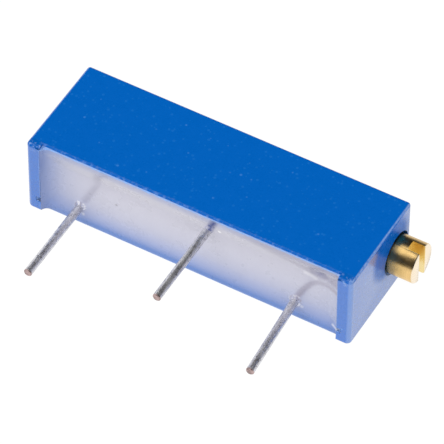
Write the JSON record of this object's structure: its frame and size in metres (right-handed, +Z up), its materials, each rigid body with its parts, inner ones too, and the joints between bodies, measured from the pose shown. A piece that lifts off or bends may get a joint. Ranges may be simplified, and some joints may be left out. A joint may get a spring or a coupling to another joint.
{
  "type": "trimmer potentiometer",
  "caption": "Rectangular multiturn trimmer potentiometer with a side adjustment screw, wire leads and a potted underside, lying on one large side face.",
  "frame": {"origin": "middle of the large side face that the part lies on", "axes": "+X along the case towards the adjustment screw's head, +Y from the leads towards the back wall, +Z up through the thickness; the leads point to -Y"},
  "size_m": [0.0205, 0.0112, 0.0048],
  "materials": {
    "housing_blue": "satin",
    "potting_epoxy": "satin",
    "screw_brass": "satin",
    "seal_rubber": "matte",
    "clip_steel": "satin",
    "carriage_plastic": "satin",
    "wiper_alloy": "satin",
    "alumina": "matte",
    "resistor_ink": "matte",
    "conductor_ink": "matte",
    "tinned_copper": "satin",
    "solder": "satin"
  },
  "bodies": {
    "case": {"housing": "housing_blue", "potting": "potting_epoxy", "shaft_seal": "seal_rubber", "screw_retainer": "clip_steel", "substrate": "alumina", "resistive_track": "resistor_ink", "collector_track": "conductor_ink", "end_pad_1": "conductor_ink", "end_pad_3": "conductor_ink", "lead_1": "tinned_copper", "lead_2": "tinned_copper", "lead_3": "tinned_copper", "solder_joint_1": "solder", "solder_joint_2": "solder", "solder_joint_3": "solder"},
    "screw": {"adjustment_screw": "screw_brass"},
    "slider": {"carriage": "carriage_plastic", "wiper": "wiper_alloy"}
  },
  "joints": [
    {"name": "screw_turn", "type": "hinge", "parent": "case", "child": "screw", "pos_m": [0.00953, 0.0017, 0.00236], "axis": [1, 0, 0], "range_deg": [-2700, 2700]},
    {"name": "carriage_slide", "type": "slide", "parent": "case", "child": "slider", "axis": [1, 0, 0], "range_m": [-0.00525, 0.00525]}
  ],
  "couplings": [
    {"joint": "carriage_slide", "follows": "screw_turn", "m_per_rad": -0.00011141}
  ]
}
